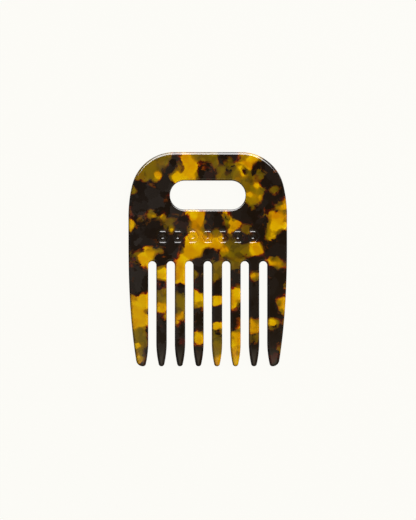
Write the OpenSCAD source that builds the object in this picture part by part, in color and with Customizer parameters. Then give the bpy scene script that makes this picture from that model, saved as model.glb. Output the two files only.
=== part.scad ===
// Wide-tooth pocket comb, cut and polished from one sheet of acetate.
// It lies on its back: +Z is the thickness, +Y points to the handle, the teeth point to -Y.
// The origin is on the table, under the middle of the comb.

/* [Overall] */
// Length from the top of the handle to the tips of the teeth
comb_length = 100; // [96:1:130]
// Width at the widest place
comb_width = 74; // [72:1:84]
// Thickness of the sheet
thickness = 5; // [4:0.5:7]
// Radius of the tumbled edges
edge_round = 1.2; // [0.8:0.1:1.4]

/* [Shoulders and sides] */
// Radius of each shoulder, where the flat top turns down
shoulder_radius = 20.2; // [17:0.1:22]
// Radius of the slower curve that carries the shoulder into the side
side_radius = 60; // [50:1:70]
// Depth below the top where the sides become straight
shoulder_depth = 29.6; // [28:0.1:33]
// Depth below the top where the sides start to close in again
closing_depth = 41; // [38:1:45]
// How far each side has closed in at the tips
closing_in = 4; // [2:0.5:5]
// Power of the closing curve, where 2 is a parabola
closing_power = 2.4; // [2:0.1:3]

/* [Finger slot] */
// Length of the slot
slot_length = 35.4; // [28:0.2:40]
// Height of the slot
slot_height = 13.6; // [10:0.1:16]
// Depth of the slot's centre below the top
slot_depth = 20; // [18:0.1:22]

/* [Teeth] */
// Number of teeth
tooth_count = 8; // [6:1:8]
// Distance from one gap to the next
pitch = 8.64; // [8.2:0.02:8.8]
// Width of the gaps
gap_width = 3.8; // [3:0.1:4.2]
// Depth of the gaps, from their round roots to the tips
gap_length = 49.1; // [40:0.1:50]
// Length over which a tooth narrows and thins to its tip
taper_length = 11.2; // [8:0.2:14]
// How far each edge of a tooth has moved in at the tip
tip_narrowing = 1.35; // [0.8:0.05:1.4]
// How far each face of a tooth has moved in at the tip
tip_thinning = 0.9; // [0.4:0.1:1.1]
// Radius of the corners of a tip, seen from the front
tip_round = 1; // [0.6:0.05:1]
// Radius of the corners of a tip, seen from the side
tip_side_round = 1.5; // [0.8:0.1:1.6]
// Radius of the outer corner of the two end teeth
end_tip_round = 2.6; // [1.5:0.1:3]

/* [Pressed ornament] */
// Number of hexagons in the row below the slot
hexagon_count = 7; // [3:2:7]
// Width of one hexagon, from corner to corner
hexagon_width = 6; // [5:0.1:6.4]
// Height of one hexagon, from flat to flat
hexagon_height = 5.8; // [5:0.1:7]
// Distance from one hexagon to the next
hexagon_pitch = 7; // [6.6:0.1:7.2]
// Width of the small pit in the middle of each hexagon
pit_width = 2; // [1.4:0.1:2.4]
// Width of the hexagons' pressed lines
line_width = 0.7; // [0.4:0.1:0.7]
// Depth of the pressed lines and pits
line_depth = 0.2; // [0.1:0.05:0.5]
// Depth of the row's centre below the top
ornament_depth = 39.4; // [36:0.1:42]

/* [Hidden] */
$fn = 48;

acetate = [0.36, 0.25, 0.07];
half_length = comb_length / 2;
half_width = comb_width / 2;
mid = thickness / 2;
corner_steps = 4;
arc_steps = 12;
side_steps = 8;
tip_steps = 9;
// The rounded rims cross the faces at a small angle, a hair short of tangent
crossing = 0.03;
// How far a cutter runs past what it cuts
past = 1;
// Half the size of the last section at the very end of a tip
tip_end = 0.1;
// The end teeth stand this much inside the head's sides, so that no sliver is left where they meet
step_in = 0.01;

gap_radius = gap_width / 2;
root_y = half_length - comb_length + gap_length - gap_radius;
first_gap = -(tooth_count - 2) / 2 * pitch;
closing_y = half_length - closing_depth;

// Shoulder circle: it touches the top line and, from inside, the larger side circle
side_centre = [half_width - side_radius, half_length - shoulder_depth];
shoulder_drop = shoulder_depth - shoulder_radius;
shoulder_centre = [
    side_centre.x + sqrt(pow(side_radius - shoulder_radius, 2) - pow(shoulder_drop, 2)),
    half_length - shoulder_radius
];
meet_angle = atan2(shoulder_drop, shoulder_centre.x - side_centre.x);

function on_circle(centre, r, a) = centre + r * [cos(a), sin(a)];

function flip(points) = [for (i = [len(points) - 1:-1:0]) [-points[i].x, points[i].y]];

// Half the width of the comb at height y, below the shoulders
function side_x(y) =
    y >= closing_y ? half_width
    : half_width - closing_in * pow((closing_y - y) / (closing_y + half_length), closing_power);

// What a corner of radius r takes off at distance s from the end
function corner_cut(s, r) = s >= r ? 0 : r - sqrt(max(0, r * r - pow(r - s, 2)));

// What the taper takes off at distance s from the tip, when it takes off "most" at the tip
function taper_cut(s, most) = s >= taper_length ? 0 : most * pow(1 - s / taper_length, 2);

// The right half of the head's outline, from its foot up to the middle of the top
function right_edge(foot_y) = concat(
    [for (i = [0:side_steps]) let (y = foot_y + (closing_y - foot_y) * i / side_steps) [side_x(y), y]],
    [for (i = [0:arc_steps - 1]) on_circle(side_centre, side_radius, meet_angle * i / arc_steps)],
    [for (i = [0:arc_steps])
        on_circle(shoulder_centre, shoulder_radius, meet_angle + (90 - meet_angle) * i / arc_steps)]
);

// Unit vector that points out of a closed anticlockwise outline at its point i
function outward(outline, i) =
    let (
        n = len(outline),
        along = outline[(i + 1) % n] - outline[(i + n - 1) % n]
    ) [along.y, -along.x] / norm(along);

// One ring of the outline, moved in by "inset" at height z
function ring(outline, inset, z) = [
    for (i = [0:len(outline) - 1])
        let (p = outline[i] - inset * outward(outline, i)) [p.x, p.y, z]
];

// Quarter turns of the rounded edge, as [inset, height]
function edge_profile(steps) = concat(
    [for (i = [0:steps]) let (a = 90 * i / steps)
        [edge_round * (1 - sin(a)), edge_round * (1 - cos(a))]],
    [for (i = [steps:-1:0]) let (a = 90 * i / steps)
        [edge_round * (1 - sin(a)), thickness - edge_round * (1 - cos(a))]]
);

// A closed skin over rings that all have the same number of points
module skin(rings) {
    n = len(rings[0]);
    last = len(rings) - 1;
    sides = [
        for (k = [0:last - 1], i = [0:n - 1])
            let (j = (i + 1) % n) [k * n + i, (k + 1) * n + i, (k + 1) * n + j, k * n + j]
    ];
    first_cap = [for (i = [0:n - 1]) i];
    last_cap = [for (i = [n - 1:-1:0]) last * n + i];
    polyhedron(points = [for (r = rings) each r], faces = concat([first_cap], sides, [last_cap]), convexity = 4);
}

// The head before it is pierced: a convex plate with rounded edges
module head_blank() {
    right = right_edge(root_y - 6);
    outline = concat(right, flip(right));
    skin([for (p = edge_profile(corner_steps)) ring(outline, p[0], p[1])]);
}

// Half the section of a cutter whose rims flare out by the edge radius, for a hole of radius r
module flared_half(r) {
    difference() {
        translate([0, -past])
            square([r + edge_round, thickness + 2 * past]);
        translate([r, edge_round - crossing])
            square([edge_round + past, thickness - 2 * (edge_round - crossing)]);
        for (z = [edge_round - crossing, thickness - edge_round + crossing])
            translate([r + edge_round, z])
                circle(edge_round);
    }
}

// A round hole with rounded rims
module flared_hole(x, y, r) {
    translate([x, y, 0])
        rotate_extrude()
            flared_half(r);
}

// The finger slot with rounded rims
module slot_cutter() {
    r = slot_height / 2;
    reach = slot_length / 2 - r;
    y = half_length - slot_depth;
    for (x = [-reach, reach])
        flared_hole(x, y, r);
    for (m = [0, 1])
        translate([-reach, y, 0])
            mirror([0, m, 0])
                rotate([90, 0, 90])
                    linear_extrude(2 * reach)
                        flared_half(r);
}

// A hexagon with a corner at each side and a flat at the top and the bottom
module hexagon(width, height) {
    polygon([
        [width / 2, 0], [width / 4, height / 2], [-width / 4, height / 2],
        [-width / 2, 0], [-width / 4, -height / 2], [width / 4, -height / 2]
    ]);
}

// The pressed marks of one hexagon: its outline and the pit in its middle
module pressed_hexagon() {
    inside = 1 - 2 * line_width / hexagon_height;
    difference() {
        hexagon(hexagon_width, hexagon_height);
        hexagon(hexagon_width * inside, hexagon_height * inside);
    }
    hexagon(pit_width, pit_width * hexagon_height / hexagon_width);
}

// The pressed row between the slot and the gaps
module ornament_cutter() {
    for (i = [0:hexagon_count - 1])
        translate([(i - (hexagon_count - 1) / 2) * hexagon_pitch, half_length - ornament_depth,
                   thickness - line_depth])
            linear_extrude(line_depth + past)
                pressed_hexagon();
}

// Section of a tooth: a rounded rectangle from x = low to x = high, "half" thick each way from the middle
function tooth_ring(y, low, high, half) =
    let (
        centre = (low + high) / 2,
        wide = max(tip_end, (high - low) / 2),
        r = min(edge_round, wide * 0.98, half * 0.98)
    ) [
        for (q = [0:3], i = [0:corner_steps])
            let (
                a = 90 * (q + i / corner_steps),
                sx = (q == 0 || q == 3) ? 1 : -1,
                sz = q < 2 ? 1 : -1
            ) [centre + sx * (wide - r) + r * cos(a), y, mid + sz * (half - r) + r * sin(a)]
    ];

// Heights of a tooth's sections: even steps down the blade, then closer ones towards the tip
function tooth_stations(blade_steps) = concat(
    [for (i = [0:blade_steps - 1])
        taper_length + (root_y + half_length - taper_length) * (1 - i / blade_steps)],
    [for (i = [0:tip_steps]) taper_length * pow(1 - i / tip_steps, 2)]
);

// A tooth between x = low and x = high; "outer" is 1 when its high edge follows the side of the comb
module tooth(low, high, outer = 0) {
    skin([
        for (s = tooth_stations(outer == 1 ? side_steps : 1))
            let (
                y = s - half_length,
                cut = taper_cut(s, tip_narrowing) + corner_cut(s, tip_round),
                far = outer == 1 ? side_x(y) - step_in - corner_cut(s, end_tip_round) : high - cut,
                half = max(tip_end, mid - taper_cut(s, tip_thinning) - corner_cut(s, tip_side_round))
            ) tooth_ring(y, low + cut, far, half)
    ]);
}

module teeth() {
    for (i = [0:tooth_count - 3]) {
        low = first_gap + i * pitch + gap_radius;
        tooth(low, low + pitch - gap_width);
    }
    for (m = [0, 1])
        mirror([m, 0, 0])
            tooth(-first_gap + gap_radius, half_width, outer = 1);
}

module comb() {
    color(acetate) {
        difference() {
            head_blank();
            slot_cutter();
            for (i = [0:tooth_count - 2])
                flared_hole(first_gap + i * pitch, root_y, gap_radius);
            translate([-comb_width, root_y - comb_length, -past])
                cube([2 * comb_width, comb_length, thickness + 2 * past]);
            ornament_cutter();
        }
        teeth();
    }
}

comb();
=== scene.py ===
"""The looks of the wide-tooth comb: one polished sheet of tortoiseshell acetate on a pale light table."""

import math

import bpy
import numpy as np
from mathutils import Matrix, Vector
from mathutils.geometry import delaunay_2d_cdt


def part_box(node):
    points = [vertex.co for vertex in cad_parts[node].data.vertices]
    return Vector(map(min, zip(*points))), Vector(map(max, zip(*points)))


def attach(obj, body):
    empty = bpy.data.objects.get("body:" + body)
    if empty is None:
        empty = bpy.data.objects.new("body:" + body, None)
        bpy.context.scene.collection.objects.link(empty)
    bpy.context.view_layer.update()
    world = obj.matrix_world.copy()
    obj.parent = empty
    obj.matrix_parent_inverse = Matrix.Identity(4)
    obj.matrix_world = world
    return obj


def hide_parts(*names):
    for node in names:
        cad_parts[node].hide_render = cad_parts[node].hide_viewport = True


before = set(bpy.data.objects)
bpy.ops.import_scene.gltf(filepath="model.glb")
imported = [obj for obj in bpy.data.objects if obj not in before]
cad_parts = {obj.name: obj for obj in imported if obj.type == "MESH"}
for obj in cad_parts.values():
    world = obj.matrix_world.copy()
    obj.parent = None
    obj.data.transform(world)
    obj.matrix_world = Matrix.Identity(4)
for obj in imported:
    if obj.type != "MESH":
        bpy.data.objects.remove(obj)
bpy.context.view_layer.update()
LOW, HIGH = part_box("comb")

# ---------------------------------------------------------------- sizes

# Sizes are in design millimetres, of which the comb is 100 long
LENGTH = 100.0
MM = (HIGH.y - LOW.y) / LENGTH
WIDTH = (HIGH.x - LOW.x) / MM
THICKNESS = (HIGH.z - LOW.z) / MM
HALF_LENGTH = LENGTH / 2
HALF_WIDTH = WIDTH / 2
MIDDLE = THICKNESS / 2

# Each shoulder is two arcs, and below them the straight sides close in towards the tips
SHOULDER_RADIUS = 20.2
SIDE_RADIUS = 60.0
SHOULDER_DEPTH = 29.6
CLOSING_DEPTH = 41.0
CLOSING_IN = 4.0
CLOSING_POWER = 2.4
CLOSING_Y = HALF_LENGTH - CLOSING_DEPTH

# The finger slot, with its centre this deep below the top
SLOT_LENGTH = 35.4
SLOT_HEIGHT = 13.6
SLOT_DEPTH = 20.0

# The teeth, the gaps between them, and how the teeth narrow and thin along their taper
TEETH = 8
PITCH = 8.64
GAP_WIDTH = 3.8
GAP_LENGTH = 49.1
TAPER = 11.2
TIP_NARROWING = 1.35
TIP_THINNING = 0.9
TIP_ROUND = 1.0
END_TIP_ROUND = 2.6
GAP_RADIUS = GAP_WIDTH / 2
ROOT_Y = GAP_LENGTH - HALF_LENGTH - GAP_RADIUS

# Radii of the tumbled edges: round the outside, along the slot, at the slot's two ends, and along the gaps
OUTER_EDGE = 1.2
SLOT_EDGE = 0.9
SLOT_END_EDGE = 0.45
GAP_EDGE = 1.1
# At the very tips the edge is narrower across and deeper, like the nose of a bullet
TIP_EDGE_ACROSS = 0.92
TIP_EDGE_DEEP = 1.45
# Two thirds down the taper the rounding also spreads over the face, by 0.15 of this
TIP_BULGE = 2.8
# A narrow flat rim inside the rounded edge: what fades out towards the tip, and what stays
FLAT_RIM = 0.14
LEAST_RIM = 0.02

# The pressed row of hexagons, each with a pit in its middle
HEXAGONS = 7
HEXAGON_WIDTH = 6.0
HEXAGON_HEIGHT = 5.8
HEXAGON_PITCH = 7.0
PIT_WIDTH = 2.0
PIT_WALL = 0.36
LINE_WIDTH = 0.7
LINE_DEPTH = 0.2
ORNAMENT_DEPTH = 39.4
# How far along its sides each corner is softened, as a share of their length
CORNER_SOFTENING = 0.16

# Outlines are first drawn with points this close, then thinned to longer steps that turn by little
DENSE = 0.05
NOSE_STEPS = 60
LONGEST_STEP = 1.5
SHARPEST_TURN = math.radians(7)
# Loops across one pressed line and down the wall of one pit, and points round one of their corners
LINE_LOOPS = 11
PIT_LOOPS = 6
CORNER_POINTS = 5
# The grid over the faces: its spacing, and how clear of the outlines its points stay, as a share of that
GRID_PITCH = 1.3
GRID_CLEARANCE = 0.45
# Closer than this, two points are one: along an outline, and where triangles meet
SAME_POINT = 1e-4
SAME_CORNER = 1e-7
# Faces that meet at more than this are shaded with a sharp edge
SHARP_ANGLE = math.radians(32)


# ---------------------------------------------------------------- outline


def side_x(y):
    """Half the width of the comb at height y, below the shoulders."""
    down = np.clip((CLOSING_Y - y) / (CLOSING_Y + HALF_LENGTH), 0, None)
    return HALF_WIDTH - CLOSING_IN * down**CLOSING_POWER


def corner_cut(s, radius):
    """What a round corner takes off at distance s from the end."""
    within = np.clip(radius - s, 0, radius)
    return radius - np.sqrt(radius**2 - within**2)


def tip_share(y):
    """0 along the blade of a tooth, rising to 1 at its tip."""
    return np.clip(1 - (y + HALF_LENGTH) / TAPER, 0, 1)


def arc(centre, radius, start, end):
    """Close points along an arc, angles in degrees."""
    count = max(3, int(abs(math.radians(end - start)) * radius / DENSE))
    a = np.radians(np.linspace(start, end, count))
    return np.stack([centre[0] + radius * np.cos(a), centre[1] + radius * np.sin(a)], axis=1)


def tip_distances(radius, top):
    """Distances from the tip, close together round its nose."""
    turn = np.linspace(0, math.pi / 2, NOSE_STEPS)
    return np.concatenate([radius * (1 - np.cos(turn)), np.arange(radius + DENSE, top, DENSE), [top]])


def gap_edge(x, towards):
    """The edge of a tooth along a gap, from its tip up to the gap's root.

    The tooth is on the side of x that "towards" says, 1 or -1.
    """
    s = tip_distances(TIP_ROUND, ROOT_Y + HALF_LENGTH)
    y = s - HALF_LENGTH
    cut = TIP_NARROWING * tip_share(y) ** 2 + corner_cut(s, TIP_ROUND)
    return np.stack([x + towards * cut, y], axis=1)


def right_side():
    """The outside of the comb from the right end tooth's tip up to the middle of the top."""
    s = tip_distances(END_TIP_ROUND, CLOSING_Y + HALF_LENGTH)
    low = np.stack([side_x(s - HALF_LENGTH) - corner_cut(s, END_TIP_ROUND), s - HALF_LENGTH], axis=1)
    drop = SHOULDER_DEPTH - SHOULDER_RADIUS
    side = np.array([HALF_WIDTH - SIDE_RADIUS, HALF_LENGTH - SHOULDER_DEPTH])
    reach = math.sqrt((SIDE_RADIUS - SHOULDER_RADIUS) ** 2 - drop**2)
    shoulder = side + [reach, drop]
    meet = math.degrees(math.atan2(drop, reach))
    straight = np.arange(CLOSING_Y + DENSE, side[1], DENSE)
    top = np.arange(shoulder[0] - DENSE, 0, -DENSE)
    return np.concatenate([
        low,
        np.stack([np.full_like(straight, HALF_WIDTH), straight], axis=1),
        arc(side, SIDE_RADIUS, 0, meet),
        arc(shoulder, SHOULDER_RADIUS, meet, 90),
        np.stack([top, np.full_like(top, HALF_LENGTH)], axis=1),
    ])


def mirrored(points):
    """The same line on the other side of the comb, run the other way."""
    return points[::-1] * [-1, 1]


def comb_outline():
    """The whole outside, anticlockwise, with the radius of its rounded edge at each point."""
    right = right_side()
    outer = np.concatenate([right, mirrored(right)])
    pieces = [(outer, OUTER_EDGE)]
    for i in range(TEETH - 1):
        x = (i - (TEETH - 2) / 2) * PITCH
        pieces.append((gap_edge(x - GAP_RADIUS, -1), GAP_EDGE))
        pieces.append((arc((x, ROOT_Y), GAP_RADIUS, 180, 0)[1:-1], GAP_EDGE))
        pieces.append((gap_edge(x + GAP_RADIUS, 1)[::-1], GAP_EDGE))
    return (
        np.concatenate([points for points, _ in pieces]),
        np.concatenate([np.full(len(points), edge) for points, edge in pieces]),
    )


def slot_outline():
    """The finger slot, clockwise, with the radius of its rounded edge at each point."""
    radius = SLOT_HEIGHT / 2
    reach = SLOT_LENGTH / 2 - radius
    y = HALF_LENGTH - SLOT_DEPTH
    along = np.arange(-reach + DENSE, reach, DENSE)
    points = np.concatenate([
        arc((-reach, y), radius, 270, 90),
        np.stack([along, np.full_like(along, y + radius)], axis=1),
        arc((reach, y), radius, 90, -90),
        np.stack([-along, np.full_like(along, y - radius)], axis=1),
    ])
    turned = np.clip((np.abs(points[:, 0]) - reach) / radius, 0, 1)
    return points, SLOT_EDGE + (SLOT_END_EDGE - SLOT_EDGE) * np.sqrt(turned)


def resampled(points, edge):
    """Fewer points round a closed outline, closer where it turns, with unit vectors into the material."""
    step = np.linalg.norm(np.roll(points, -1, axis=0) - points, axis=1)
    keep = step > SAME_POINT
    points, edge = points[keep], edge[keep]
    ahead = np.roll(points, -1, axis=0) - points
    step = np.linalg.norm(ahead, axis=1)
    heading = np.unwrap(np.arctan2(ahead[:, 1], ahead[:, 0]))
    full_turn = round((heading[-1] - heading[0]) / math.tau) * math.tau
    turning = np.abs(np.diff(heading, append=heading[0] + full_turn))
    travel = np.concatenate([[0], np.cumsum(step / LONGEST_STEP + turning / SHARPEST_TURN)])
    at = np.linspace(0, travel[-1], int(travel[-1]), endpoint=False)
    closed = np.concatenate([points, points[:1]])
    out = np.stack([np.interp(at, travel, closed[:, k]) for k in (0, 1)], axis=1)
    size = np.interp(at, travel, np.append(edge, edge[0]))
    along = np.roll(out, -1, axis=0) - np.roll(out, 1, axis=0)
    inward = np.stack([-along[:, 1], along[:, 0]], axis=1) / np.linalg.norm(along, axis=1)[:, None]
    return out, size, inward


# ---------------------------------------------------------------- mesh


def face_height(y):
    """How far each face of the comb is from its middle plane."""
    return MIDDLE - TIP_THINNING * tip_share(y) ** 2


def rings_of(points, edge, inward, curve_steps=8, wall_steps=3):
    """Rings of 3D points from the front face, round the edge and down to the back face."""
    t = tip_share(points[:, 1])
    across = edge + (TIP_EDGE_ACROSS - edge) * t**2 + TIP_BULGE * t**2 * (1 - t)
    deep = edge + (TIP_EDGE_DEEP - edge) * t**2
    rim = FLAT_RIM * (1 - t**6) + LEAST_RIM
    height = face_height(points[:, 1])
    quarter = [(across + rim, height)]
    for k in range(curve_steps + 1):
        a = math.pi / 2 * k / curve_steps
        quarter.append((across * (1 - math.sin(a)), height - deep * (1 - math.cos(a))))
    wall = height - deep
    sides = [(np.zeros_like(across), wall * (1 - 2 * k / wall_steps)) for k in range(1, wall_steps)]
    profile = quarter + sides + [(inset, -z) for inset, z in reversed(quarter)]
    return [np.column_stack([points + inward * inset[:, None], MIDDLE + z]) for inset, z in profile]


def hexagon(width, inset):
    """A hexagon with softened corners, flat at the top and the bottom, its sides moved in by "inset"."""
    half = np.array([width, width * HEXAGON_HEIGHT / HEXAGON_WIDTH]) / 2
    corners = np.array([(1, 0), (0.5, 1), (-0.5, 1), (-1, 0), (-0.5, -1), (0.5, -1)]) * half
    points = []
    for i, corner in enumerate(corners):
        before, after = corners[i - 1], corners[(i + 1) % len(corners)]
        for t in np.linspace(0, 1, CORNER_POINTS):
            pull = CORNER_SOFTENING * ((1 - t) ** 2 * (before - corner) + t**2 * (after - corner))
            points.append(corner + pull)
        points.append((corner + after) / 2)
    return np.array(points) * (1 - inset / half[1])


def pressed_marks():
    """Loops that run along the pressed lines and pits of the ornament, with how deep each loop lies."""
    loops = []
    for k in range(HEXAGONS):
        centre = np.array([(k - (HEXAGONS - 1) / 2) * HEXAGON_PITCH, HALF_LENGTH - ORNAMENT_DEPTH])
        for across in np.linspace(0, 1, LINE_LOOPS):
            depth = LINE_DEPTH * (1 - math.cos(math.tau * across)) / 2
            loops.append((centre + hexagon(HEXAGON_WIDTH, LINE_WIDTH * across), depth))
        for down in np.linspace(0, 1, PIT_LOOPS):
            depth = LINE_DEPTH * (1 - math.cos(math.pi * down)) / 2
            loops.append((centre + hexagon(PIT_WIDTH, PIT_WALL * down), depth))
    return loops


def inside(points, loops, batch=2000):
    """Which points are inside the outer loop and outside the holes, by counting crossings."""
    hit = np.zeros(len(points), bool)
    for loop in loops:
        a, b = loop, np.roll(loop, -1, axis=0)
        rise = np.where(b[:, 1] == a[:, 1], 1, b[:, 1] - a[:, 1])
        for i in range(0, len(points), batch):
            p = points[i : i + batch, None]
            spans = (a[:, 1] > p[..., 1]) != (b[:, 1] > p[..., 1])
            x = a[:, 0] + (p[..., 1] - a[:, 1]) / rise * (b[:, 0] - a[:, 0])
            hit[i : i + batch] ^= ((spans & (p[..., 0] < x)).sum(axis=1) % 2).astype(bool)
    return hit


def spaced_grid(loops, avoid):
    """Points spread evenly over the face, clear of the lines to avoid."""
    low, high = loops[0].min(axis=0), loops[0].max(axis=0)
    rows = []
    for j, y in enumerate(np.arange(low[1], high[1], GRID_PITCH * math.sqrt(3) / 2)):
        x = np.arange(low[0] + (j % 2) * GRID_PITCH / 2, high[0], GRID_PITCH)
        rows.append(np.stack([x, np.full_like(x, y)], axis=1))
    points = np.concatenate(rows)
    points = points[inside(points, loops)]
    lines = np.concatenate(avoid)
    near = [np.min(np.linalg.norm(lines - p, axis=1)) for p in points]
    return points[np.array(near) > GRID_PITCH * GRID_CLEARANCE]


def filled(loops, pressed):
    """Triangles that fill the face between its loops, and the line points that each corner came from."""
    lines = loops + pressed
    coords = np.concatenate(lines + [spaced_grid(loops, lines)])
    edges, start = [], 0
    for line in lines:
        edges += [(start + i, start + (i + 1) % len(line)) for i in range(len(line))]
        start += len(line)
    out = delaunay_2d_cdt([Vector(p) for p in coords], edges, [], 0, SAME_CORNER, True)
    points, triangles, origins = np.array(out[0]), np.array(out[2]), out[3]
    middle = points[triangles].mean(axis=1)
    return points, triangles[inside(middle, loops)], origins


def add_edges(vertices, faces):
    """Add the rounded edges of the outside and of the slot.

    What comes back for each is its inmost ring in front and its inmost one behind, with their first indices.
    """
    rims = []
    for outline in (comb_outline(), slot_outline()):
        rings = rings_of(*resampled(*outline))
        count, base = len(rings[0]), len(vertices)
        vertices += [p for ring in rings for p in ring]
        for k in range(len(rings) - 1):
            a, b = base + k * count, base + (k + 1) * count
            faces += [(a + i, b + i, b + (i + 1) % count, a + (i + 1) % count) for i in range(count)]
        rims.append(((rings[0], base), (rings[-1], base + (len(rings) - 1) * count)))
    return rims


def add_face(vertices, faces, rims, marks, front):
    """Fill the front or the back face between its rims, with the pressed marks sunk into it."""
    points, triangles, origins = filled([rim[:, :2] for rim, _ in rims], [line for line, _ in marks])
    known = [first + i for rim, first in rims for i in range(len(rim))]
    sinks = [0] * len(known) + [depth for line, depth in marks for _ in line]
    place = []
    for p, came_from in zip(points, origins):
        source = min(came_from, default=len(sinks))
        if source < len(known):
            place.append(known[source])
            continue
        # Points of the grid come after those of the lines, and aren't sunk
        sink = sinks[source] if source < len(sinks) else 0
        height = face_height(p[1]) - sink
        place.append(len(vertices))
        vertices.append((p[0], p[1], MIDDLE + (height if front else -height)))
    order = (0, 1, 2) if front else (0, 2, 1)
    faces += [tuple(place[t[i]] for i in order) for t in triangles]


def comb_mesh():
    """One closed mesh: the rounded edges, and the two faces between their inmost rings."""
    vertices, faces = [], []
    rims = add_edges(vertices, faces)
    add_face(vertices, faces, [front for front, _ in rims], pressed_marks(), front=True)
    add_face(vertices, faces, [back for _, back in rims], [], front=False)
    mesh = bpy.data.meshes.new("comb_acetate")
    mesh.from_pydata([Vector(v) * MM for v in vertices], [], faces)
    mesh.validate()
    mesh.polygons.foreach_set("use_smooth", [True] * len(mesh.polygons))
    mesh.set_sharp_from_angle(angle=SHARP_ANGLE)
    mark_chips(mesh, np.array(vertices)[:, :2])
    return mesh


def comb_piece():
    """The comb where the frame has it."""
    comb = bpy.data.objects.new("comb_acetate", comb_mesh())
    comb.data.transform(Matrix.Translation(((LOW.x + HIGH.x) / 2, (LOW.y + HIGH.y) / 2, LOW.z)))
    bpy.context.scene.collection.objects.link(comb)
    return comb


# ---------------------------------------------------------------- shader nodes

WHITE = (1, 1, 1, 1)


class Nodes:
    """Short calls that add one shader node each and give back its output."""

    def __init__(self, tree):
        self.tree = tree

    def add(self, kind, inputs=(), out=0, **settings):
        """Any node; each input is another node's output or a constant."""
        node = self.tree.nodes.new(kind)
        for name, value in settings.items():
            setattr(node, name, value)
        for name, value in dict(inputs).items():
            socket = node.inputs[name]
            if isinstance(value, bpy.types.NodeSocket):
                self.tree.links.new(value, socket)
            else:
                socket.default_value = value
        return node.outputs[out]

    def math(self, operation, a, b=0.0, c=0.0, clamp=False):
        return self.add("ShaderNodeMath", {0: a, 1: b, 2: c}, operation=operation, use_clamp=clamp)

    def vector(self, operation, a, b):
        return self.add("ShaderNodeVectorMath", {0: a, 1: b}, operation=operation)

    def scaled(self, vector, factor):
        return self.add("ShaderNodeVectorMath", {0: vector, 3: factor}, operation="SCALE")

    def split(self, vector):
        """The three parts of a vector or a colour."""
        return self.add("ShaderNodeSeparateXYZ", {0: vector}).node.outputs

    def step(self, value, low, high, first=0.0, last=1.0):
        """A smooth step that goes from "first" at low to "last" at high."""
        return self.add(
            "ShaderNodeMapRange",
            {"Value": value, "From Min": low, "From Max": high, "To Min": first, "To Max": last},
            interpolation_type="SMOOTHSTEP",
        )

    def mix(self, share, a, b):
        """Colour a, or colour b where the share is 1; the node's colour sockets are 6, 7 and 2."""
        return self.add("ShaderNodeMix", {0: share, 6: a, 7: b}, out=2, data_type="RGBA")

    def noise(self, vector, scale, detail, out="Fac"):
        return self.add("ShaderNodeTexNoise", {"Vector": vector, "Scale": scale, "Detail": detail}, out=out)

    def swing(self, colour, reach):
        """A vector that swings round zero, from a colour that varies between 0 and 1."""
        return self.scaled(self.vector("SUBTRACT", colour, (0.5, 0.5, 0.5)), reach)


# ---------------------------------------------------------------- acetate

# Where in the large sheet this comb was cut out
SHEET_OFFSET = (57.0, 23.0, 31.0)
# The chips pressed into the sheet: their size across, and how many times thinner than wide they lie
CHIP = 5.6
FLATNESS = 2.0
# How many times smaller the crumbs between them are, and how much more blurred
CRUMB = 1.8
CRUMB_BLUR = 1.2
# Chips and crumbs each have this much say in what is dark, and below the dark share it is
CHIP_SAY = 0.7
CRUMB_SAY = 0.95
DARK_SHARE = 0.5
# Half the width of the change from dark to amber: at no blur, and what a blur of 1 adds
SHARP_CHANGE = 0.01
BLURRED_CHANGE = 0.3
# Splinters along the chips' torn edges: their size, how far they stand out, and how fast depth ends them
SPLINTER = 1.7
SPLINTER_REACH = 1.2
SPLINTER_FADE = 2.0
# The chips are bent out of shape, slowly and finely: how far, and how many times in a millimetre
BEND = 2.0
BEND_SCALE = 0.13
RIPPLE = 0.6
RIPPLE_SCALE = 0.55

# How strongly the listed clusters below decide a chip's colour, against chance
CLUSTER_PULL = 0.8
# How fast a cluster's pull falls off, and what chance weighs where no cluster is near
CLUSTER_FALL = 1.6
CHANCE_WEIGHT = 0.12
# Dark clusters pull less on the deep chips
DEEP_DARK_PULL = 0.6
# How much the dark chips spread with each millimetre of depth, and the depth at which they are in balance
SPREAD = 0.16
BALANCE_DEPTH = 0.8
# Where chips of one kind crowd together: x, y and reach in design millimetres
DARK_CLUSTERS = [
    (-28, 29, 7), (-31, 34, 3), (-18, 43, 3.5), (-20, 35, 3), (-14.5, 48, 2), (-27, 13, 6), (-33, 9, 5),
    (-18, 22.5, 5), (-13, 14, 4), (-18, 7, 5), (-16, 1, 3), (-22, -1.5, 3), (-1, 40, 4.5), (10, 47, 4.5),
    (4, 17, 5), (1, 2.5, 3.5), (14, 22, 3), (20, 22, 5), (26, 43, 4.5), (33, 38, 3), (27, 35, 3),
    (31, 28, 4), (24, 14, 5), (16, 10, 3), (29, 7, 3), (35, 10, 2.5), (33, 4, 4.5), (21, -2.5, 4),
    (-33, -9, 6), (-30, -42, 2), (-22, -12, 2.5), (-21.5, -30, 5), (-21.5, -42, 8), (-13, -13.5, 2),
    (-13, -34, 5), (-13, -45, 6), (-4, -3, 3.5), (-3.5, -12, 3), (-4, -27, 4.5), (-4, -45, 5),
    (4.5, -13, 4), (4.5, -26, 3), (5, -34, 1.5), (13, -8, 4), (12, -29, 3.5), (21.5, -18, 8),
    (21.5, -45, 6), (32, -10, 6), (31, -23, 3.5), (31, -37, 6), (30.5, -47, 3.5),
]
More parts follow.
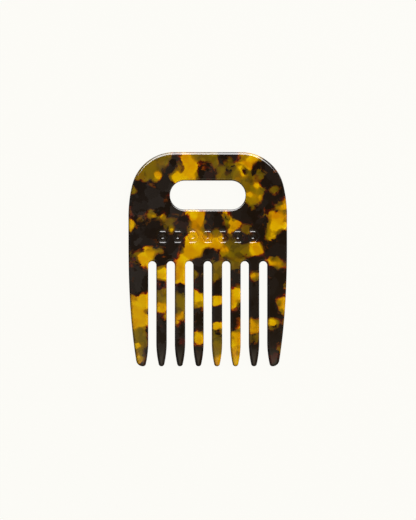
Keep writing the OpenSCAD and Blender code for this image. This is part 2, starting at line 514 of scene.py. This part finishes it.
AMBER_CLUSTERS = [
    (-9, 43, 5), (-14, 39, 3), (-7, 38.5, 2.5), (-24, 38, 2.5), (16, 42.5, 5), (22.5, 46.5, 3.5),
    (22, 33, 3.5), (21.5, 27, 3.5), (34, 20, 5.5), (30, 14, 3), (-26, 21, 2.5), (-31, 18, 2),
    (-22, 21.5, 2), (-17, 14, 1.5), (-6, 18, 4), (8, 21, 2.5), (12, 16, 3), (-36, 15, 2.5), (-6, 9, 5.5),
    (3, 8, 3.5), (-5, 4, 4), (-12, -3, 5), (30, 10, 2.5), (22, 5, 3), (-29, 1, 5), (-21, 4, 2.5),
    (31, -2, 3.5), (8, 3, 2), (-32, -25, 6.5), (-32, -42, 3), (-33, -46, 2.5), (-22, -6, 3.5),
    (-22, -22, 3), (-13, -8, 4), (-14, -27, 2.5), (-5, -17, 4), (-4.5, -37, 3), (4, -19, 2.5),
    (5, -31, 2), (13, -18, 5), (13, -39, 5), (13, -46, 2.5), (22.5, -8, 2.5), (22, -32, 3.5),
    (36, -12, 2), (35, -21, 4), (30.5, -30, 2), (34, -41, 2.5), (5, -47, 3),
]
# Here dark chips lie deep under clear amber, and show through it as olive
OLIVE_CLUSTERS = [
    (-29, 41, 4.5), (-21, 46, 3.5), (1, 47, 4), (9, 41, 4.5), (-17, 18, 3.5), (18, 35, 3), (25, 39, 2.5),
    (31, 32, 2.5), (-34, 32, 2), (21, 23, 1.5), (14, 4, 5), (18, 14, 2.5), (4, 12, 2), (12, -2, 3),
    (-31, -37, 4), (-22, -17, 3), (-13, -19, 4), (-6, -7, 2), (4.5, -6, 4), (4, -40, 5), (21, -38, 2),
]

# Layers looked through from the surface down: thickness in millimetres, and how blurred each is seen
LAYERS = [(0.16, 0.02), (0.2, 0.05), (0.24, 0.1), (0.3, 0.2), (0.5, 0.4), (0.7, 0.55), (1.0, 0.7)]
# Below this depth the deep pattern takes over bit by bit, and chips are seen as a murky shade
SOFT_DEPTH = 0.4
# What one millimetre lets through of red and of green: a black chip, a brown one, and a black one deep down
BLACK_CLEARNESS = (0.06, 0.0015)
BROWN_CLEARNESS = (0.42, 0.27)
MURKY_CLEARNESS = (0.085, 0.028)
# The same for the darkest amber deep down, while the clearest takes nothing away
HONEY_CLEARNESS = (0.86, 0.70)
# The tints, 0 to 1, over which black chips turn brown and clear amber turns to honey
BROWN_TINTS = (0.9, 0.94)
HONEY_TINTS = (0.3, 0.8)
# What is left of red and green right by the chips at the surface, and how far this blurs into the amber
BURN = (0.7, 0.26)
BURN_BLUR = 0.7
# How much haze a millimetre of amber adds
AMBER_SCATTER = 0.29
# Amber is yellow in some places and orange in others: how close these lie, and where one ends
WARMTH_SCALE = 0.18
WARMTH_TURN = (0.42, 0.7)

# Linear colours: the light that comes back from under clear amber, and the haze in it. Neither has any blue
YELLOW = (1.0, 0.58, 0.0, 1)
ORANGE = (0.9, 0.4, 0.0, 1)
YELLOW_HAZE = (0.51, 0.33, 0.0, 1)
ORANGE_HAZE = (0.48, 0.26, 0.0, 1)
# Linear colours of the chips' own faces: black, and an ash on chips of some tints. More ash lies on the
# left, where the extra is a painted cool reflection, and clear amber outshines them all
CHIP_BLACK = (0.009, 0.005, 0.0024, 1)
CHIP_ASH_AND_SHEEN = (0.022, 0.017, 0.0135, 1)
ASHY_TINTS = (0.1, 0.9)
# Painted sheen: how much of the ash is left at the right end; the extra towards the left stands in for a
# mirrored cool reflection
ASH_AND_SHEEN_ON_THE_RIGHT = 0.35
AMBER_COVER = 3.0

# The polish has slow waves, and fine smears drawn out along the comb: how many in a millimetre, and how high
WAVE_SCALE = 0.16
WAVE_HEIGHT = 0.03
SMEAR_SCALE = 0.9
SMEAR_STRETCH = 0.35
SMEAR_HEIGHT = 0.0006
SMEAR_RANGE = (0.25, 0.75)
ROUGHNESS = (0.05, 0.09)
REFRACTION = 1.5


def crowding(points, clusters):
    """How close each point is to the middle of some cluster, 0 to about 1."""
    total = np.zeros(len(points))
    for x, y, reach in clusters:
        total += np.exp(-CLUSTER_FALL * ((points[:, 0] - x) ** 2 + (points[:, 1] - y) ** 2) / reach**2)
    return total


def mark_chips(mesh, points):
    """Store on the mesh which way chips lean near the surface and deep down: 1 is dark, -1 is amber."""
    dark = crowding(points, DARK_CLUSTERS)
    amber = crowding(points, AMBER_CLUSTERS)
    olive = crowding(points, OLIVE_CLUSTERS)
    whole = dark + amber + olive + CHANCE_WEIGHT
    leanings = {
        "surface_chips": (dark - amber - olive) / whole,
        "deep_chips": (DEEP_DARK_PULL * dark - amber + olive) / whole,
    }
    for name, leaning in leanings.items():
        mesh.attributes.new(name, "FLOAT", "POINT").data.foreach_set("value", leaning)


def chips_group():
    """Node group: is there a dark chip at this point of the sheet, and of what tint? Each is 0 to 1."""
    group = bpy.data.node_groups.new("chips", "ShaderNodeTree")
    group.interface.new_socket("Vector", in_out="INPUT", socket_type="NodeSocketVector")
    for name, way in (("Blur", "INPUT"), ("Crowd", "INPUT"), ("Dark", "OUTPUT"), ("Tint", "OUTPUT")):
        group.interface.new_socket(name, in_out=way, socket_type="NodeSocketFloat")
    n = Nodes(group)
    given = group.nodes.new("NodeGroupInput").outputs
    result = group.nodes.new("NodeGroupOutput").inputs
    blur = given["Blur"]
    flat = n.vector("MULTIPLY", given["Vector"], (1 / CHIP, 1 / CHIP, FLATNESS / CHIP))

    def cells(scale, smoothness):
        """Random numbers, three for each cell, that run together at the cells' borders."""
        return n.split(n.add(
            "ShaderNodeTexVoronoi",
            {"Vector": flat, "Scale": scale, "Smoothness": smoothness},
            out="Color",
            feature="SMOOTH_F1",
        ))

    chip, tint, _ = cells(1.0, blur)
    crumb, _, _ = cells(CRUMB, n.math("MULTIPLY", blur, CRUMB_BLUR))
    chance = n.math("MULTIPLY_ADD", chip, CHIP_SAY, 0.5 * (1 - CHIP_SAY - CRUMB_SAY))
    chance = n.math("MULTIPLY_ADD", crumb, CRUMB_SAY, chance)
    value = n.math("ADD", chance, given["Crowd"])
    change = n.math("MULTIPLY_ADD", blur, BLURRED_CHANGE, SHARP_CHANGE)
    low = n.math("SUBTRACT", DARK_SHARE, change)
    high = n.math("ADD", DARK_SHARE, change)
    group.links.new(n.math("SUBTRACT", 1.0, n.step(value, low, high)), result["Dark"])
    group.links.new(tint, result["Tint"])
    return group


def chips_at(n, chips, place, lean, blur):
    """The outputs of one use of the chips group, at this place and with chips that lean this way."""
    inputs = {"Vector": place, "Blur": blur, "Crowd": n.math("MULTIPLY", lean, -CLUSTER_PULL)}
    return n.add("ShaderNodeGroup", inputs, node_tree=chips).node.outputs


def bent_place(n, place):
    """The place in the sheet where a chip would be if nothing had bent it out of shape."""
    bend = n.swing(n.noise(place, BEND_SCALE, 1.0, out="Color"), BEND)
    ripple = n.swing(n.noise(place, RIPPLE_SCALE, 1.0, out="Color"), RIPPLE)
    return n.vector("ADD", n.vector("ADD", place, bend), ripple)


def chip_layers(n, place, bent):
    """The chips from the surface down, and how close each point is to those at the surface, 0 to 1.

    A layer is its thickness, the depth of its top, and the "Dark" and "Tint" of the chips in it.
    """
    splinter = n.add("ShaderNodeTexVoronoi", {"Vector": place, "Scale": 1 / SPLINTER}, out="Color")
    torn = n.swing(splinter, SPLINTER_REACH)
    surface = n.add("ShaderNodeAttribute", out="Fac", attribute_name="surface_chips")
    deep = n.add("ShaderNodeAttribute", out="Fac", attribute_name="deep_chips")
    normal = n.add("ShaderNodeNewGeometry", out="Normal")
    chips = chips_group()
    layers, top = [], 0.0
    for thickness, blur in LAYERS:
        below = n.vector("SUBTRACT", bent, n.scaled(normal, top + thickness / 2))
        below = n.vector("ADD", below, n.scaled(torn, math.exp(-SPLINTER_FADE * top)))
        deep_say = min(max(top - SOFT_DEPTH, 0.0), 1.0)
        sunk = n.math("MULTIPLY", n.math("SUBTRACT", deep, surface), deep_say)
        lean = n.math("ADD", n.math("ADD", surface, sunk), SPREAD * (top - BALANCE_DEPTH))
        found = chips_at(n, chips, below, lean, blur)
        layers.append((thickness, top, found["Dark"], found["Tint"]))
        top += thickness
    near_chips = chips_at(n, chips, bent, surface, BURN_BLUR)["Dark"]
    return layers, near_chips


def red_and_green(red, green):
    """A colour without blue."""
    return (red, green, 0.0, 1)


def pane(clearness, thickness):
    """What a pane of this thickness lets through, as a colour."""
    return red_and_green(*(share**thickness for share in clearness))


def looked_through(n, bent, layers):
    """The light that comes back out of the sheet, taken from the deepest layer up to the surface."""
    warmth = n.step(n.noise(bent, WARMTH_SCALE, 2.0), *WARMTH_TURN)
    haze = n.mix(warmth, YELLOW_HAZE, ORANGE_HAZE)
    seen = n.mix(warmth, YELLOW, ORANGE)
    for thickness, top, dark, tint in reversed(layers):
        is_deep = top > SOFT_DEPTH
        if is_deep:
            honey = n.mix(n.step(tint, *HONEY_TINTS), WHITE, pane(HONEY_CLEARNESS, thickness))
            seen = n.vector("MULTIPLY", seen, honey)
        black = pane(MURKY_CLEARNESS if is_deep else BLACK_CLEARNESS, thickness)
        brown = pane(BROWN_CLEARNESS, thickness)
        chip = n.split(n.mix(n.step(tint, *BROWN_TINTS), black, brown))
        red, green = (n.math("POWER", chip[k], dark) for k in (0, 1))
        behind = n.vector("MULTIPLY", seen, n.add("ShaderNodeCombineXYZ", {0: red, 1: green}))
        scatter = 1 - math.exp(-AMBER_SCATTER * thickness)
        milky = n.math("MULTIPLY", n.math("SUBTRACT", 1.0, dark), scatter)
        seen = n.mix(milky, behind, haze)
    return seen


def with_chip_faces_and_sheen(n, seen, tint, coordinates):
    """Add the little light that the chips' own faces send back, where no amber outshines them, with a
    painted cool reflection that grows towards the left.
    """
    amber = n.math("MULTIPLY", n.split(seen)[0], AMBER_COVER, clamp=True)
    # Painted reflection: the ash fades from the left end to the right, standing in for a cool sheen mirrored
    # on the left
    ash_and_left_sheen = n.step(n.split(coordinates)[0], LOW.x, HIGH.x, 1.0, ASH_AND_SHEEN_ON_THE_RIGHT)
    ash_and_sheen_share = n.math("MULTIPLY", n.step(tint, *ASHY_TINTS), ash_and_left_sheen)
    chip_face_and_sheen = n.mix(ash_and_sheen_share, CHIP_BLACK, CHIP_ASH_AND_SHEEN)
    return n.vector("ADD", seen, n.scaled(chip_face_and_sheen, n.math("SUBTRACT", 1.0, amber)))


def polish(n, place):
    """The relief and the roughness of the polished surface."""
    waves = n.noise(place, WAVE_SCALE, 1.0)
    smears = n.noise(n.vector("MULTIPLY", place, (1.0, SMEAR_STRETCH, 1.0)), SMEAR_SCALE, 3.0)
    height = n.math("MULTIPLY_ADD", waves, WAVE_HEIGHT, n.math("MULTIPLY", smears, SMEAR_HEIGHT))
    relief = n.add("ShaderNodeBump", {"Strength": 1.0, "Distance": MM, "Height": height})
    return relief, n.step(smears, *SMEAR_RANGE, *ROUGHNESS)


def acetate_material():
    """Tortoiseshell acetate: amber with dark chips at, just under and deep under the polished surface."""
    material = bpy.data.materials.new("tortoiseshell_acetate")
    material.use_nodes = True
    tree = material.node_tree
    shader = tree.nodes["Principled BSDF"]
    n = Nodes(tree)
    coordinates = n.add("ShaderNodeTexCoord", out="Object")
    place = n.vector("ADD", n.scaled(coordinates, 1 / MM), SHEET_OFFSET)
    bent = bent_place(n, place)
    layers, near_chips = chip_layers(n, place, bent)
    seen = looked_through(n, bent, layers)
    seen = n.vector("MULTIPLY", seen, n.mix(near_chips, WHITE, red_and_green(*BURN)))
    surface_tint = layers[0][3]
    colour = with_chip_faces_and_sheen(n, seen, surface_tint, coordinates)
    relief, roughness = polish(n, place)
    tree.links.new(colour, shader.inputs["Base Color"])
    tree.links.new(relief, shader.inputs["Normal"])
    tree.links.new(roughness, shader.inputs["Roughness"])
    shader.inputs["IOR"].default_value = REFRACTION
    return material


# ---------------------------------------------------------------- stage


def linear(display):
    """A linear colour from display values of 0 to 255, by the curve of sRGB above its dark end."""
    return tuple(((value / 255 + 0.055) / 1.055) ** 2.4 for value in display) + (1,)


PAPER = linear((252, 251, 246))
# The table only looks pale: what the comb mirrors of it glows faintly, and more beyond the comb's top
TABLE_BLACK = (0.012, 0.012, 0.012, 1)
TABLE_REACH = 6.0
TABLE_GAP = 0.00002
CAMERA_GLOW = 0.99
FAINT_GLOW = 0.04
BEYOND_GLOW = 1.5
BEYOND_BLEND = 0.02

# What the comb mirrors of the dark studio: a cool glow on the left, a warm one towards the tips, and a
# brighter patch lower down beyond the tips, which only their sloping ends mirror
DIM_STUDIO = (0.012, 0.012, 0.012)
COOL_GLOW = (0.10, 0.108, 0.125)
WARM_GLOW = (0.09, 0.07, 0.03)
TIP_GLOW = (0.75, 0.68, 0.52)
# Where each fades in or out, in the x and y of a unit vector: across the comb and along it
COOL_X = (-0.07, 0.0)
WARM_Y = (-0.06, 0.03)
PATCH_NEAR_Y = (-0.34, -0.05)
PATCH_FAR_Y = (-0.62, -0.45)
PATCH_X = (0.1, 0.45)

# The camera's sensor in millimetres, and its height over the comb in metres
SENSOR = 24.0
CAMERA_HEIGHT = 1.0
# How much of the table the picture's height shows, and where its middle is, in design millimetres
VIEW_HEIGHT = 242.4
VIEW_SHIFT = (0.12, -0.33)


def table_material():
    """A pale light table; what the comb mirrors of it is bright only beyond the top, under the softbox."""
    material = bpy.data.materials.new("pale_light_table")
    material.use_nodes = True
    shader = material.node_tree.nodes["Principled BSDF"]
    n = Nodes(material.node_tree)
    shader.inputs["Base Color"].default_value = TABLE_BLACK
    shader.inputs["Roughness"].default_value = 1.0
    shader.inputs["Specular IOR Level"].default_value = 0.0
    shader.inputs["Emission Color"].default_value = PAPER
    to_camera = n.add("ShaderNodeLightPath", out="Is Camera Ray")
    along = n.split(n.add("ShaderNodeTexCoord", out="Object"))[1]
    beyond = n.step(along, HIGH.y - BEYOND_BLEND, HIGH.y + BEYOND_BLEND, last=BEYOND_GLOW)
    glow = n.add("ShaderNodeMix", {0: to_camera, 2: n.math("ADD", beyond, FAINT_GLOW), 3: CAMERA_GLOW})
    material.node_tree.links.new(glow, shader.inputs["Emission Strength"])
    return material


def add_table():
    """A large flat table just under the comb."""
    corners = [(-1, -1), (1, -1), (1, 1), (-1, 1)]
    vertices = [(x * TABLE_REACH, y * TABLE_REACH, LOW.z - TABLE_GAP) for x, y in corners]
    mesh = bpy.data.meshes.new("floor")
    mesh.from_pydata(vertices, [], [(0, 1, 2, 3)])
    mesh.materials.append(table_material())
    floor = bpy.data.objects.new("floor", mesh)
    bpy.context.scene.collection.objects.link(floor)


def add_panel(name, place, aim, size, radiance, mirrored_only):
    """A soft light panel of a given radiance, which is only mirrored or only lights the comb."""
    light = bpy.data.lights.new(name, "AREA")
    light.shape = "RECTANGLE"
    light.size, light.size_y = size
    light.energy = radiance * math.pi * size[0] * size[1]
    panel = bpy.data.objects.new(name, light)
    panel.location = place
    towards = Vector(aim) - Vector(place)
    panel.rotation_euler = towards.to_track_quat("-Z", "Y").to_euler()
    panel.visible_diffuse = not mirrored_only
    panel.visible_glossy = mirrored_only
    panel.visible_camera = False
    bpy.context.scene.collection.objects.link(panel)


def add_world():
    """The dark studio: its glows are only mirrored, and the camera sees paper white instead."""
    world = bpy.data.worlds.new("studio")
    world.use_nodes = True
    n = Nodes(world.node_tree)
    x, y, _ = n.split(n.add("ShaderNodeTexCoord", out="Generated"))
    cool = n.scaled(COOL_GLOW, n.step(x, *COOL_X, 1.0, 0.0))
    warm = n.scaled(WARM_GLOW, n.step(y, *WARM_Y, 1.0, 0.0))
    patch = n.math("MULTIPLY", n.step(y, *PATCH_NEAR_Y, 1.0, 0.0), n.step(y, *PATCH_FAR_Y))
    patch = n.math("MULTIPLY", patch, n.step(n.math("ABSOLUTE", x), *PATCH_X, 1.0, 0.0))
    tips = n.scaled(TIP_GLOW, patch)
    glow = n.vector("ADD", n.vector("ADD", cool, warm), n.vector("ADD", tips, DIM_STUDIO))
    rays = n.add("ShaderNodeLightPath").node.outputs
    lighting = n.mix(rays["Is Diffuse Ray"], glow, DIM_STUDIO + (1,))
    colour = n.mix(rays["Is Camera Ray"], lighting, PAPER)
    world.node_tree.links.new(colour, world.node_tree.nodes["Background"].inputs["Color"])
    bpy.context.scene.world = world


def add_camera():
    """Straight above the comb, with the handle at the top of the picture."""
    scene = bpy.context.scene
    data = bpy.data.cameras.new("camera")
    data.sensor_fit = "VERTICAL"
    data.sensor_height = SENSOR
    data.lens = SENSOR * CAMERA_HEIGHT / (VIEW_HEIGHT * MM)
    camera = bpy.data.objects.new("camera", data)
    centre = (LOW + HIGH) / 2
    x, y = (centre[k] + VIEW_SHIFT[k] * MM for k in (0, 1))
    camera.location = (x, y, HIGH.z + CAMERA_HEIGHT)
    scene.collection.objects.link(camera)
    scene.camera = camera
    scene.view_settings.view_transform = "Standard"
    scene.view_settings.look = "None"


add_camera()
comb = comb_piece()
comb.data.materials.append(acetate_material())
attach(comb, "root")
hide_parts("comb")

add_table()
add_world()
add_panel(
    "top_softbox",
    place=(-0.03, 0.40, 0.34),
    aim=(-0.03, 0, 0),
    size=(0.54, 0.68),
    radiance=15,
    mirrored_only=True,
)
add_panel(
    "fill",
    place=(0.5, 0.3, 0.75),
    aim=(0, 0, 0),
    size=(0.8, 0.8),
    radiance=6.9,
    mirrored_only=False,
)
